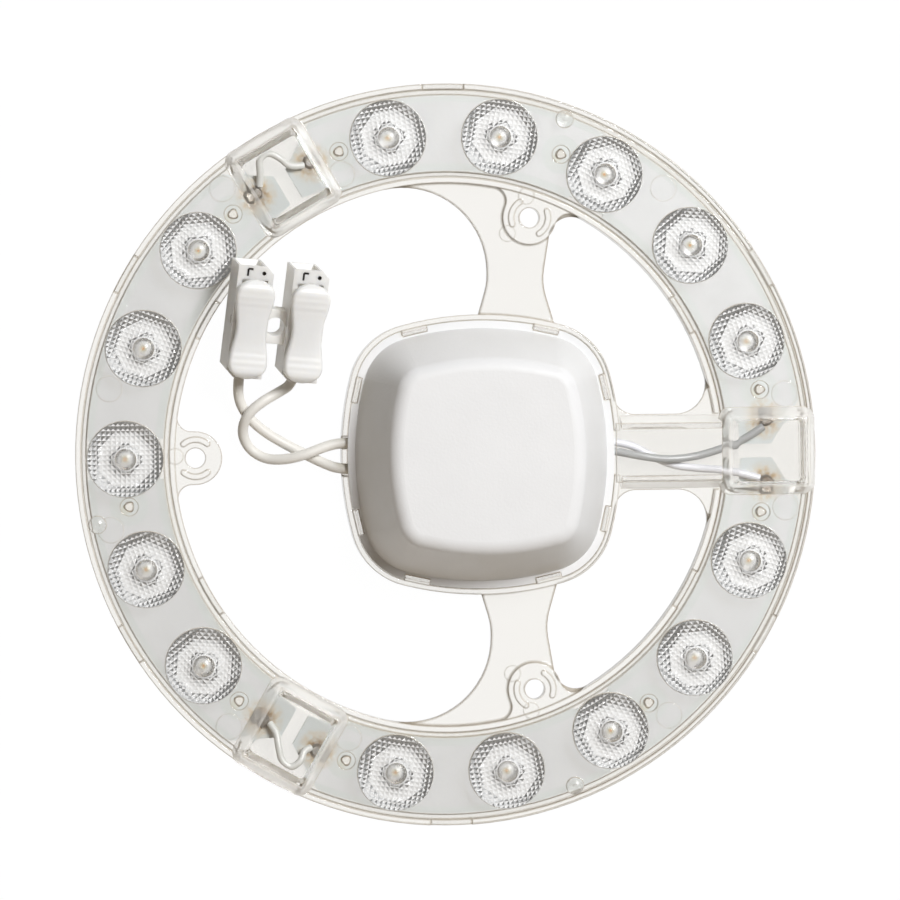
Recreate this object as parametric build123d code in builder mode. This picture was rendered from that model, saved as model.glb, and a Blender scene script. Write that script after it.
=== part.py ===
"""LED retrofit module: a ring of lensed lamps round a driver, with a push-in terminal on its two leads.

Millimetres, +Z towards the lit side. The origin is the ring's centre on the flat back face.
"""

import os
from math import asin, cos, degrees, pi, radians, sin, sqrt, tan

from build123d import *

os.makedirs("parts", exist_ok=True)

# Ring tray
ring_radius = 75.0
ring_width = 20.0
floor_thickness = 1.4
rim_wall = 1.1
rim_drop = 0.15
tray_mark_places = ((-0.2, 72.0), (-0.2, 179.6), (-0.2, 287.8), (-8.5, 73.7), (-8.5, -73.7))
tray_mark_radius = 1.6
tray_mark_depth = 0.08

# Screw ears, with a raised rib on each side of the hole
ear_angles = (70, 180, 290)
ear_reach = 4.2
ear_radius = 5.4
ear_hole = 2.0
ear_thickness = 3.0
ear_fillet = 2.8
rib_circle = 3.75
rib_width = 1.1
rib_height = 0.5
rib_sweep = 80

# Webs that carry the driver seat: where their sides stand at the waist, and how they flare
web_left = 8.7
web_right = 19.9
web_flare = 3.2
web_lean = 3.4
web_sweep_radius = 17.0
web_sweep_share = 0.55
web_corner = 4.5
waist_ease = 2.5
waist_radius = 12.0
arm_margin = 0.3
arm_ring_fillet = 6.0
arm_seat_fillet = 4.5

# Driver seat: a square with bowed sides
driver_x = 6.9
seat_half = 28.3
seat_bulge = 4.65
seat_corner = 14.0
seat_wall = 1.1
seat_ledge = 1.0
seat_lip = 0.3
wire_gate = 9.0
standoff_radius = 2.0
standoff_height = 0.6
standoff_spacing = 34.0

# Snap hooks that hold the driver cover
hook_spread = 13.7
hook_width = 5.2
hook_thickness = 0.9
hook_barb = 0.45
hook_rise = 1.3
hook_gap = 0.15

# Driver cover
cover_gap = 0.15
cover_shelf = 1.5
cover_flange = 1.2
cover_rise = 17.5
cover_draft = 20.0
cover_wall = 1.2
cover_edge = 3.0

# Lamp boards
board_thickness = 1.0
board_clearance = 0.25
board_joint = 2.8
tongue_outer_cut = 6.4
tongue_outer_run = 10.0
tongue_inner_cut = 2.2
tongue_inner_run = 6.5
edge_notch_width = 8.0
edge_notch_depth = 0.5
post_angles = (11.0, 68.5, 109.0)
post_radius = 0.9
post_clearance = 0.15
chip_length = 3.5
chip_width = 2.8
chip_height = 0.7
chip_window = 1.15
chip_window_depth = 0.12
chip_room = 0.2

# Lens ring
nest_gap = 0.15
ring_lift = 0.1
skirt = 0.9
plate_thickness = 1.2
lens_pitch = 20
sector = 120
lens_radius = 7.65
lens_foot = 1.0
lens_rise = 4.2
lens_crown = 4.4
dimple_radius = 2.4
dimple_depth = 1.1
glow_radius = 3.0
post_window = 1.75
gate_angles = (70.0, 190.5, 290.5)
gate_radius = 1.7
gate_height = 0.4
gate_inset = 1.85
ejector_places = ((4.7, 9.5), (4.5, 50.2), (-4.5, 110.0), (5.3, 129.6), (4.5, 168.2))
ejector_radius = 2.6
ejector_height = 0.06
clip_width = 8.2
clip_gap = 0.15
clip_sink = 0.1
outer_clip_angles = (30, 90, 150, 210, 270, 330)
inner_clip_angles = (30, 150, 210, 330)

# Joint boxes and the wire tunnel, moulded with the lens ring
box_inset = 0.15
box_width = 17.6
box_rise = 5.6
box_draft = 16.0
box_wall = 1.2
box_corner = 2.4
box_edge = 0.9
box_inner_edge = 0.4
tunnel_width = 14.8
tunnel_roof_width = 12.0
tunnel_roof = 1.2
tunnel_wall = 1.2
tunnel_gap = 0.2

# Wires and leads
lead_diameter = 2.1
lead_spacing = 5.6
lead_slot_gap = 0.25
wire_diameter = 1.6
jumper_diameter = 1.4
bend_share = 0.45
wire_gap = 0.05
jumper_rise = 1.4
solder_radius = 1.5
solder_height = 0.8
solder_draft = 35.0
solder_offset = 6.4

# Driver board and what stands on it
driver_board_gap = 0.05
driver_board_corner = 5.0
driver_board_thickness = 1.6
big_can_inset = (11.5, 10.5)
big_can_radius = 5.0
big_can_height = 14.0
small_can_inset = (9.5, 9.5)
small_can_radius = 4.0
small_can_height = 11.5
core_place = (6.0, 5.0)
core_length = 16.0
core_width = 8.0
core_height = 12.5
core_leg = 3.5
coil_radius = 5.6
coil_gap = 0.15
film_inset = (9.5, 11.5)
film_length = 13.0
film_width = 6.0
film_height = 11.0
fuse_inset = 4.0
fuse_shift = 2.0
fuse_radius = 1.7
fuse_length = 9.0
rectifier_inset = 5.5
rectifier_length = 6.5
rectifier_width = 5.0
rectifier_height = 2.6
driver_chip_place = (1.0, -8.0)
driver_chip_length = 5.0
driver_chip_width = 4.0
driver_chip_height = 1.5

# Push-in terminal: where it lies, then its own sizes
terminal_inset = 14.51
terminal_angle = 155.02
terminal_lift = 1.75
terminal_yaw = -7.1
terminal_pitch = 11.0
terminal_roll = 9.8
pole_pitch = 11.4
pole_width = 7.3
pole_length = 23.0
pole_height = 7.4
pole_wall = 1.0
pole_corner = 1.5
deck_length = 2.9
mouth_wall = 0.5
mouth_depth = 1.2
mouth_draft = 25.0
entry_width = 3.6
entry_height = 3.6
bridge_span = 7.0
bridge_start = 7.0
bridge_thickness = 3.6
bridge_lift = 1.4
bridge_hole = 1.9
slit_width = 0.4
slit_depth = 0.8
rocker_length = 20.2
rocker_width = 7.9
rocker_waist = 6.2
rocker_corner = 3.4
rocker_gap = 0.4
rocker_rock = 4.0
rocker_setback = 1.3
rocker_profile = ((0, 1.2), (3.0, 1.25), (4.6, 1.42), (5.3, 1.58), (6.0, 1.5), (6.7, 1.72), (7.4, 1.64),
                  (8.3, 1.9), (9.2, 1.7), (9.8, 1.25), (10.1, 0.8))
waist_cut = 28.0
pivot_drop = 1.6
pivot_radius = 0.75
pivot_clearance = 0.15
boss_length = 3.0
boss_clearance = 0.15
spring_strip = 0.4
spring_width = 4.4

# Heights worked out from the stack
board_top = floor_thickness + board_thickness
plate_bottom = board_top + chip_height + chip_room
plate_top = plate_bottom + plate_thickness
rim_top = plate_top - rim_drop
skirt_bottom = floor_thickness + ring_lift
flange_bottom = floor_thickness + lead_diameter + lead_slot_gap
flange_top = flange_bottom + cover_flange
seat_top = flange_top + seat_lip
hook_top = flange_top + hook_rise
driver_board_top = floor_thickness + standoff_height + driver_board_thickness
tunnel_ceiling = seat_top + tunnel_gap
tunnel_top = tunnel_ceiling + tunnel_roof

# Radii and places worked out from the ring
ring_bore = ring_radius - ring_width
lens_circle = (ring_radius + ring_bore) / 2
plate_inner = ring_bore + rim_wall + nest_gap
plate_outer = ring_radius - rim_wall - nest_gap
board_inner = plate_inner + skirt + board_clearance
board_outer = plate_outer - skirt - board_clearance
ear_circle = ring_bore - ear_reach
arm_width = tunnel_width + 2 * arm_margin
seat_right = driver_x + seat_half
seat_left = driver_x - seat_half
seat_reach = seat_half - seat_bulge
seat_arc = (seat_reach**2 + seat_bulge**2) / (2 * seat_bulge)
driver_board_size = 2 * (seat_reach - seat_wall - seat_ledge - driver_board_gap)
box_length = ring_width - 2 * box_inset
lens_angles = [angle for angle in range(0, 360, lens_pitch) if angle % sector]
all_post_angles = [start + angle for start in (0, sector, 2 * sector) for angle in post_angles]


def polar(radius, angle, height=0.0):
    """A point at a radius and an angle in degrees round the ring's axis."""
    return Vector(radius * cos(radians(angle)), radius * sin(radians(angle)), height)


def nearest_corner(sketch, x, y):
    """The corner of a sketch that lies nearest to a place."""
    return sketch.vertices().sort_by_distance((x, y, 0))[0]


def save(piece, name):
    """Label a finished piece and write it."""
    piece.label = name
    export_step(piece, f"parts/{name}.step")


# Outline of the driver seat
with BuildSketch() as seat_outline:
    with BuildLine():
        corners = [(1, -1), (1, 1), (-1, 1), (-1, -1)]
        points = [(driver_x + x * seat_reach, y * seat_reach) for x, y in corners]
        for start, end in zip(points, points[1:] + points[:1]):
            SagittaArc(start, end, -seat_bulge)
    make_face()
    fillet(seat_outline.vertices(), seat_corner)


def seat_inset(distance):
    """The driver seat's outline, moved in by a distance."""
    with BuildSketch() as inset:
        add(seat_outline.sketch)
        offset(amount=-distance)
    return inset.sketch


def ear_shape(angle):
    """Cut one screw ear out of the sketch in hand: a round end on a straight neck."""
    with PolarLocations(ear_circle, 1, start_angle=angle):
        Circle(ear_radius, mode=Mode.SUBTRACT)
    with PolarLocations(ear_circle + (ear_reach + rim_wall) / 2, 1, start_angle=angle):
        Rectangle(ear_reach + rim_wall, 2 * ear_radius, mode=Mode.SUBTRACT)


def ear_corners(sketch, angle):
    """The two corners where an ear's neck meets the ring."""
    half_turn = degrees(asin(ear_radius / ring_bore))
    places = [polar(ring_bore, angle + turn) for turn in (half_turn, -half_turn)]
    return [nearest_corner(sketch, place.X, place.Y) for place in places]


# The ring's bore with the ears standing into it
with BuildSketch() as bore_opening:
    Circle(ring_bore)
    for ear_angle in ear_angles:
        ear_shape(ear_angle)
    for ear_angle in ear_angles:
        fillet(ear_corners(bore_opening, ear_angle), ear_fillet)

# One web from the seat to the ring: narrow at its waist and flared, with a sweep that its length limits
web_sweep = min(web_sweep_radius, web_sweep_share * (ring_bore - seat_reach))
sweep_y = sqrt((ring_bore - web_sweep) ** 2 - (web_left - web_sweep) ** 2)
waist_y = sweep_y - waist_ease
with BuildSketch() as web:
    with BuildLine():
        Polyline(
            (web_left - web_flare, seat_reach),
            (web_left, waist_y),
            (web_left, ring_bore),
            (web_right + web_lean, ring_bore),
            (web_right, waist_y),
            (web_right + web_flare, seat_reach),
            close=True,
        )
    make_face()
    waist = [nearest_corner(web, x, waist_y) for x in (web_left, web_right)]
    fillet(waist, waist_radius)

# The three windows between ring, webs, arm and seat
with BuildSketch() as windows:
    Circle(ring_bore)
    add(seat_outline.sketch, mode=Mode.SUBTRACT)
    add(web.sketch, mode=Mode.SUBTRACT)
    add(mirror(web.sketch, about=Plane.XZ, mode=Mode.PRIVATE), mode=Mode.SUBTRACT)
    with Locations(((driver_x + ring_radius) / 2, 0)):
        Rectangle(ring_radius - driver_x, arm_width, mode=Mode.SUBTRACT)
    ear_shape(180)
    fillet(ear_corners(windows, 180), ear_fillet)
    for side in (1, -1):
        left_y = sqrt(ring_bore**2 - web_left**2)
        fillet(nearest_corner(windows, web_left, side * left_y), web_sweep)
        right_x = web_right + web_lean
        right_y = sqrt(ring_bore**2 - right_x**2)
        fillet(nearest_corner(windows, right_x, side * right_y), web_corner)
        arm_x = sqrt(ring_bore**2 - arm_width**2 / 4)
        fillet(nearest_corner(windows, arm_x, side * arm_width / 2), arm_ring_fillet)
        fillet(nearest_corner(windows, seat_right, side * arm_width / 2), arm_seat_fillet)

# Places of the cover's snap hooks, two on each side of the seat, square to its bowed wall
hook_turn = degrees(asin(hook_spread / seat_arc))
hook_places = []
for side in (0, 90, 180, 270):
    arc_centre = Vector(driver_x, 0) + polar(seat_half - seat_arc, side)
    for turn in (hook_turn, -hook_turn):
        place = arc_centre + polar(seat_arc - seat_wall, side + turn)
        hook_places.append(Location((place.X, place.Y, floor_thickness), (0, 0, side + turn)))

# One snap hook: an upright with a sloped barb, X pointing out of the seat
with BuildPart() as hook:
    with BuildSketch(Plane.XZ):
        with BuildLine():
            barb_bottom = flange_top - floor_thickness + hook_gap
            hook_tip = hook_top - floor_thickness
            Polyline(
                (seat_wall / 2, 0),
                (-hook_thickness, 0),
                (-hook_thickness, barb_bottom),
                (-hook_thickness - hook_barb, barb_bottom),
                (-hook_thickness / 2, hook_tip),
                (0, hook_tip),
                (0, seat_top - floor_thickness),
                (seat_wall / 2, seat_top - floor_thickness),
                close=True,
            )
        make_face()
    extrude(amount=hook_width / 2, both=True)

# Tray: floor with windows, two rims, ears, driver seat, hooks and heat-stake posts in one clear moulding
with BuildPart() as base_tray:
    with BuildSketch():
        Circle(ring_radius)
        add(windows.sketch, mode=Mode.SUBTRACT)
    extrude(amount=floor_thickness)
    for outer in (ring_radius, ring_bore + rim_wall):
        with BuildSketch(Plane.XY.offset(floor_thickness)):
            Circle(outer)
            Circle(outer - rim_wall, mode=Mode.SUBTRACT)
        extrude(amount=rim_top - floor_thickness)
    with BuildSketch(Plane.XY.offset(floor_thickness)):
        Circle(ring_bore + rim_wall / 2)
        add(bore_opening.sketch, mode=Mode.SUBTRACT)
    extrude(amount=ear_thickness - floor_thickness)
    for ear_angle in ear_angles:
        centre = polar(ear_circle, ear_angle, ear_thickness)
        for turn in (90, -90):
            with BuildSketch(Plane.XY.offset(ear_thickness)):
                rib_start = ear_angle + turn - rib_sweep / 2
                middle = (centre.X, centre.Y)
                rib_line = CenterArc(middle, rib_circle, rib_start, rib_sweep, mode=Mode.PRIVATE)
                SlotArc(rib_line, rib_width)
            extrude(amount=rib_height)
        with Locations(centre):
            Hole(ear_hole)
    with BuildSketch(Plane.XY.offset(floor_thickness)):
        add(seat_outline.sketch)
        add(seat_inset(seat_wall + seat_ledge), mode=Mode.SUBTRACT)
    extrude(amount=flange_bottom - floor_thickness)
    with BuildSketch(Plane.XY.offset(flange_bottom)):
        add(seat_outline.sketch)
        add(seat_inset(seat_wall), mode=Mode.SUBTRACT)
    extrude(amount=seat_top - flange_bottom)

    # Ways through the walls: two lead slots, the wire gate and the gap for the tunnel
    wall_cut = 3 * (seat_wall + seat_ledge)
    up = (Align.CENTER, Align.CENTER, Align.MIN)
    with Locations(*[(seat_left, y * lead_spacing / 2, floor_thickness) for y in (1, -1)]):
        Box(wall_cut, lead_diameter + 2 * lead_slot_gap, seat_top, align=up, mode=Mode.SUBTRACT)
    with Locations((seat_right, 0, floor_thickness)):
        Box(wall_cut, wire_gate, seat_top, align=up, mode=Mode.SUBTRACT)
    with Locations((ring_bore, 0, floor_thickness)):
        Box(4 * rim_wall, arm_width, rim_top, align=up, mode=Mode.SUBTRACT)

    # Notches in both rims for the lens ring's clips
    notch_width = clip_width + 2 * clip_gap
    notch_bottom = plate_bottom - clip_gap
    for radius, angles in ((ring_radius, outer_clip_angles), (ring_bore, inner_clip_angles)):
        with Locations(*[Location(polar(radius, angle, notch_bottom), (0, 0, angle)) for angle in angles]):
            Box(4 * rim_wall, notch_width, rim_top, align=up, mode=Mode.SUBTRACT)

    with Locations(*hook_places):
        add(hook.part)
    with Locations(*[polar(lens_circle, angle, floor_thickness) for angle in all_post_angles]):
        Cylinder(post_radius, plate_bottom + plate_thickness / 2 - floor_thickness, align=up)
    with Locations((driver_x, 0, floor_thickness)):
        with GridLocations(standoff_spacing, standoff_spacing, 2, 2):
            Cylinder(standoff_radius, standoff_height, align=up)
    with Locations(*[polar(ring_bore + offset_out, angle) for offset_out, angle in tray_mark_places]):
        Cylinder(tray_mark_radius, 2 * tray_mark_depth, mode=Mode.SUBTRACT)
save(base_tray.part, "base_tray")

# Lamp boards: three arcs of white board that meet under the joint boxes
with BuildSketch() as board_faces:
    Circle(board_outer)
    Circle(board_inner, mode=Mode.SUBTRACT)
    with PolarLocations(lens_circle, 3):
        Rectangle(ring_width, board_joint, mode=Mode.SUBTRACT)
    for edge, cut, run in (
        (board_outer, -tongue_outer_cut, tongue_outer_run),
        (board_inner, tongue_inner_cut, tongue_inner_run),
    ):
        tongue_side = [
            (edge + cut, board_joint / 2),
            (edge, board_joint / 2 + run),
            (edge - cut, board_joint / 2 + run),
            (edge - cut, -board_joint / 2 - run),
            (edge, -board_joint / 2 - run),
            (edge + cut, -board_joint / 2),
        ]
        with PolarLocations(0, 3):
            Polygon(*tongue_side, align=None, mode=Mode.SUBTRACT)
        with PolarLocations(edge, 3, start_angle=sector / 2):
            Rectangle(2 * edge_notch_depth, edge_notch_width, mode=Mode.SUBTRACT)
    with Locations(*[polar(lens_circle, angle) for angle in all_post_angles]):
        Circle(post_radius + post_clearance, mode=Mode.SUBTRACT)

for number in (1, 2, 3):
    middle = polar(lens_circle, (number - 0.5) * sector)
    with BuildPart() as led_board:
        with BuildSketch(Plane.XY.offset(floor_thickness)):
            add(board_faces.faces().sort_by_distance(middle)[0])
        extrude(amount=board_thickness)
    save(led_board.part, f"led_board_{number}")

# LED chips: a white package with a sunk window of phosphor, one under each lens
for number, angle in enumerate(lens_angles, start=1):
    chip_plane = Plane(polar(lens_circle, angle, board_top), x_dir=polar(1, angle + 90))
    with BuildPart(chip_plane) as led_chip:
        Box(chip_length, chip_width, chip_height, align=(Align.CENTER, Align.CENTER, Align.MIN))
        with Locations((0, 0, chip_height)):
            Cylinder(chip_window, 2 * chip_window_depth, mode=Mode.SUBTRACT)
    save(led_chip.part, f"led_chip_{number:02d}")

# One lens: an upright foot, a rounded crown and a dimple over the chip
with BuildPart() as lens:
    with BuildSketch(Plane.XZ):
        with BuildLine():
            crown_z = plate_top + lens_rise
            dimple_z = crown_z - dimple_depth
            shoulder = sin(radians(45))
            Polyline(
                (0, dimple_z),
                (0, plate_bottom + plate_thickness / 2),
                (lens_radius, plate_bottom + plate_thickness / 2),
                (lens_radius, plate_top + lens_foot),
            )
            ThreePointArc(
                (lens_radius, plate_top + lens_foot),
                (
                    lens_crown + (lens_radius - lens_crown) * shoulder,
                    plate_top + lens_foot + (lens_rise - lens_foot) * shoulder,
                ),
                (lens_crown, crown_z),
            )
            Line((lens_crown, crown_z), (dimple_radius, crown_z - dimple_depth / 2))
            Line((dimple_radius, crown_z - dimple_depth / 2), (0, dimple_z))
        make_face()
    revolve(axis=Axis.Z)

# Room inside the joint boxes
with BuildPart() as box_hollows:
    hollow_length = plate_outer - plate_inner - 2 * skirt
    with BuildSketch(Plane.XY.offset(plate_bottom)):
        with PolarLocations(lens_circle, 3):
            RectangleRounded(hollow_length, box_width - 2 * box_wall, box_corner)
    extrude(amount=plate_thickness + box_rise - box_wall, taper=box_draft)
    fillet(box_hollows.edges().group_by(Axis.Z)[-1], box_inner_edge)

# Lens ring: plate on two skirts, lenses, joint boxes, wire tunnel and clips in one clear moulding
with BuildPart() as lens_ring:
    with BuildSketch(Plane.XZ):
        with BuildLine():
            Polyline(
                (plate_inner, skirt_bottom),
                (plate_inner, plate_top),
                (plate_outer, plate_top),
                (plate_outer, skirt_bottom),
                (plate_outer - skirt, skirt_bottom),
                (plate_outer - skirt, plate_bottom),
                (plate_inner + skirt, plate_bottom),
                (plate_inner + skirt, skirt_bottom),
                close=True,
            )
        make_face()
    revolve(axis=Axis.Z)
    with BuildSketch(Plane.XY.offset(plate_top)):
        with PolarLocations(lens_circle, 3):
            RectangleRounded(box_length, box_width, box_corner)
    extrude(amount=box_rise, taper=box_draft)
    fillet(lens_ring.edges().group_by(Axis.Z)[-1], box_edge)

    # Tunnel from the seat to the first box, with a roof that laps over the seat's wall
    tunnel_start = seat_right + tunnel_gap
    tunnel_end = plate_inner + skirt / 2
    with BuildSketch(Plane.YZ.offset(tunnel_start)):
        with BuildLine():
            Polyline(
                (-tunnel_width / 2, skirt_bottom),
                (tunnel_width / 2, skirt_bottom),
                (tunnel_roof_width / 2, tunnel_top),
                (-tunnel_roof_width / 2, tunnel_top),
                close=True,
            )
        make_face()
    extrude(amount=tunnel_end - tunnel_start)
    lap_start = seat_right - seat_wall
    with BuildSketch(Plane.YZ.offset(lap_start)):
        with Locations((0, tunnel_ceiling + tunnel_roof / 2)):
            Rectangle(tunnel_roof_width, tunnel_roof)
    extrude(amount=tunnel_start - lap_start)

    # Hollows of the boxes and of the tunnel, open below
    add(box_hollows.part, mode=Mode.SUBTRACT)
    with BuildSketch(Plane.YZ.offset(lap_start)):
        with BuildLine():
            Polyline(
                (tunnel_wall - tunnel_width / 2, 0),
                (tunnel_width / 2 - tunnel_wall, 0),
                (tunnel_roof_width / 2 - tunnel_wall, tunnel_ceiling),
                (tunnel_wall - tunnel_roof_width / 2, tunnel_ceiling),
                close=True,
            )
        make_face()
    extrude(amount=tunnel_end + skirt + box_wall - lap_start, mode=Mode.SUBTRACT)

    for offset_out, angle in ejector_places:
        with Locations(*[polar(lens_circle + offset_out, side * angle, plate_top) for side in (1, -1)]):
            Cylinder(ejector_radius, 2 * ejector_height)
    with Locations(*[polar(lens_circle, angle) for angle in lens_angles]):
        add(lens.part)
    with Locations(*[polar(lens_circle, angle, plate_bottom) for angle in lens_angles]):
        Sphere(glow_radius, mode=Mode.SUBTRACT)
    with Locations(*[polar(lens_circle, angle, plate_bottom) for angle in all_post_angles]):
        Cylinder(post_window, 4 * plate_thickness, mode=Mode.SUBTRACT)
    with Locations(*[polar(plate_outer - gate_inset, angle, plate_top) for angle in gate_angles]):
        Cylinder(gate_radius, 2 * gate_height)
    with BuildSketch(Plane.XY.offset(plate_bottom)):
        with Locations(*[Location(polar(plate_outer, angle), (0, 0, angle)) for angle in outer_clip_angles]):
            Rectangle(4 * rim_wall, clip_width)
        Circle(ring_radius - clip_sink, mode=Mode.INTERSECT)
        Circle(plate_outer - skirt / 2, mode=Mode.SUBTRACT)
    extrude(amount=plate_thickness)
    with BuildSketch(Plane.XY.offset(plate_bottom)):
        with Locations(*[Location(polar(plate_inner, angle), (0, 0, angle)) for angle in inner_clip_angles]):
            Rectangle(4 * rim_wall, clip_width)
        Circle(plate_inner + skirt / 2, mode=Mode.INTERSECT)
        Circle(ring_bore + clip_sink, mode=Mode.SUBTRACT)
    extrude(amount=plate_thickness)
save(lens_ring.part, "lens_ring")

# Driver cover: a hollow drafted cap on a flat flange with eight hook notches
with BuildPart() as driver_cover:
    flange_inset = seat_wall + cover_gap
    with BuildSketch(Plane.XY.offset(flange_bottom)):
        add(seat_inset(flange_inset))
    extrude(amount=cover_flange)
    slope_inset = flange_inset + cover_shelf
    draft_slope = tan(radians(cover_draft))
    with BuildSketch(Plane.XY.offset(flange_top)):
        add(seat_inset(slope_inset))
    with BuildSketch(Plane.XY.offset(flange_top + cover_rise)):
        add(seat_inset(slope_inset + cover_rise * draft_slope))
    loft(ruled=True)
    fillet(driver_cover.faces().sort_by(Axis.Z)[-1].edges(), cover_edge)
    with BuildSketch(Plane.XY.offset(flange_bottom)):
        add(seat_inset(slope_inset + cover_wall))
    extrude(amount=cover_flange, mode=Mode.SUBTRACT)
    hollow_rise = cover_rise - cover_wall
    with BuildSketch(Plane.XY.offset(flange_top)):
        add(seat_inset(slope_inset + cover_wall))
    with BuildSketch(Plane.XY.offset(flange_top + hollow_rise)):
        add(seat_inset(slope_inset + cover_wall + hollow_rise * draft_slope))
    loft(ruled=True, mode=Mode.SUBTRACT)
    with Locations(*hook_places):
        with Locations((0, 0, flange_bottom - floor_thickness)):
            Box(
                2 * (hook_thickness + hook_gap),
                hook_width + 2 * hook_gap,
                cover_flange,
                align=(Align.CENTER, Align.CENTER, Align.MIN),
                mode=Mode.SUBTRACT,
            )
save(driver_cover.part, "driver_cover")

# Driver board on its standoffs
with BuildPart() as driver_board:
    with BuildSketch(Plane.XY.offset(floor_thickness + standoff_height)):
        with Locations((driver_x, 0)):
            RectangleRounded(driver_board_size, driver_board_size, driver_board_corner)
    extrude(amount=driver_board_thickness)
save(driver_board.part, "driver_board")


def board_place(x, y):
    """A plane on top of the driver board, measured from its middle."""
    return Plane((driver_x + x, y, driver_board_top))


def can_capacitor(plane, radius, height):
    """An electrolytic can with a rolled groove near its foot and a cross scored in its top."""
    groove = radius / 12
    with BuildPart(plane) as can:
        Cylinder(radius, height, align=(Align.CENTER, Align.CENTER, Align.MIN))
        chamfer(can.edges().filter_by(GeomType.CIRCLE), groove)
        with BuildSketch(plane.offset(height / 8)):
            Circle(radius)
            Circle(radius - groove, mode=Mode.SUBTRACT)
        extrude(amount=groove, mode=Mode.SUBTRACT)
        with Locations((0, 0, height)):
            Box(radius, groove, groove, mode=Mode.SUBTRACT)
            Box(groove, radius, groove, mode=Mode.SUBTRACT)
    return can.part


half_board = driver_board_size / 2
big_can_place = board_place(big_can_inset[0] - half_board, half_board - big_can_inset[1])
small_can_place = board_place(half_board - small_can_inset[0], small_can_inset[1] - half_board)
save(can_capacitor(big_can_place, big_can_radius, big_can_height), "input_capacitor")
save(can_capacitor(small_can_place, small_can_radius, small_can_height), "output_capacitor")

# Transformer: a square ferrite loop and the taped coil on its middle leg
with BuildPart(board_place(*core_place)) as transformer_core:
    Box(core_length, core_width, core_height, align=(Align.CENTER, Align.CENTER, Align.MIN))
    window_length = (core_length - 3 * core_leg) / 2
    with Locations(*[(side * (core_leg + window_length) / 2, 0, core_height / 2) for side in (1, -1)]):
        Box(window_length, 2 * core_width, core_height - 2 * core_leg, mode=Mode.SUBTRACT)
save(transformer_core.part, "transformer_core")

with BuildPart(board_place(*core_place)) as transformer_coil:
    with Locations((0, 0, core_leg + coil_gap)):
        Box(
            core_leg + 2 * window_length - 2 * coil_gap,
            2 * coil_radius,
            core_height - 2 * core_leg - 2 * coil_gap,
            align=(Align.CENTER, Align.CENTER, Align.MIN),
        )
        Box(
            core_leg + 2 * coil_gap,
            core_width + 2 * coil_gap,
            core_height,
            align=(Align.CENTER, Align.CENTER, Align.MIN),
            mode=Mode.SUBTRACT,
        )
save(transformer_coil.part, "transformer_coil")

with BuildPart(board_place(film_inset[0] - half_board, film_inset[1] - half_board)) as film_capacitor:
    Box(film_width, film_length, film_height, align=(Align.CENTER, Align.CENTER, Align.MIN))
    fillet(film_capacitor.edges().filter_by(Axis.Z), film_width / 10)
save(film_capacitor.part, "film_capacitor")

with BuildPart(board_place(fuse_inset - half_board, fuse_shift)) as fuse_resistor:
    with Locations((0, 0, fuse_radius)):
        Cylinder(fuse_radius, fuse_length, rotation=(90, 0, 0))
    fillet(fuse_resistor.edges().filter_by(GeomType.CIRCLE), fuse_radius / 3)
save(fuse_resistor.part, "fuse_resistor")

rectifier_place = board_place(0, rectifier_inset - half_board)
chip_place = board_place(*driver_chip_place)
for name, plane, length, width, height in (
    ("bridge_rectifier", rectifier_place, rectifier_length, rectifier_width, rectifier_height),
    ("driver_chip", chip_place, driver_chip_length, driver_chip_width, driver_chip_height),
):
    with BuildPart(plane) as package:
        Box(length, width, height, align=(Align.CENTER, Align.CENTER, Align.MIN))
        chamfer(package.faces().sort_by(Axis.Z)[-1].edges(), height / 8)
    save(package.part, name)


def bend_radii(points):
    """The largest bend at each inner point that its two runs leave room for."""
    radii = []
    for before, here, after in zip(points, points[1:], points[2:]):
        run_in = here - before
        run_out = after - here
        half_turn = radians(run_in.get_angle(run_out)) / 2
        radii.append(bend_share * min(run_in.length, run_out.length) / tan(half_turn))
    return radii


def wire(name, route, diameter):
    """A wire of round section along a route of straight runs joined by bends."""
    points = [Vector(*point) for point in route]
    radii = bend_radii(points)
    with BuildPart() as tube:
        with BuildLine() as path:
            FilletPolyline(*points, radius=radii)
        route_line = path.wires()[0]
        with BuildSketch(Plane(route_line @ 0, z_dir=route_line % 0)):
            Circle(diameter / 2)
        sweep(path=route_line)
    length = route_line.length
    expected = length * pi * diameter**2 / 4
    bends = " ".join(f"{radius:.1f}" for radius in radii)
    print(f"{name}: length {length:.1f}, volume ratio {tube.part.volume / expected:.4f}, bends {bends}")
    return tube.part


# Solder domes on the lamp boards, one on each side of every board joint
with BuildPart() as solder_joints:
    with BuildSketch(Plane.XY.offset(board_top)):
        with PolarLocations(lens_circle, 3):
            with Locations((0, solder_offset), (0, -solder_offset)):
                Circle(solder_radius)
    extrude(amount=solder_height, taper=solder_draft)
save(solder_joints.part, "solder_joints")

# Wires from the driver board along the tunnel to the first and the last lamp board
wire_rest = floor_thickness + wire_diameter / 2 + wire_gap
wire_over = wire_rest + wire_diameter + wire_gap
board_edge = driver_x + half_board
wire_end = solder_offset - solder_radius
solder_z = board_top + wire_diameter / 2 + wire_gap
grey_route = [
    (board_edge, 0.4, wire_rest + wire_gap),
    (board_edge + 2.8, 0.4, wire_rest + wire_gap),
    (34.2, 0.3, wire_rest + 0.5),
    (38.4, -0.6, wire_over),
    (44.6, -1.6, wire_over),
    (51.0, -1.0, wire_rest + 0.9),
    (57.2, 0.9, wire_rest + 0.9),
    (61.6, 3.0, solder_z),
    (lens_circle - 0.5, wire_end, solder_z),
]
white_route = [
    (board_edge, 2.6, wire_rest),
    (board_edge + 2.8, 2.6, wire_rest),
    (34.0, 2.2, wire_rest),
    (38.0, 1.4, wire_rest),
    (42.0, -1.0, wire_rest),
    (46.2, -2.8, wire_rest),
    (51.0, -3.4, wire_rest + 0.1),
    (55.4, -3.7, wire_rest + 1.0),
    (60.0, -4.5, solder_z + 0.2),
    (lens_circle - 1.4, -wire_end - 0.7, solder_z),
]
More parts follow.
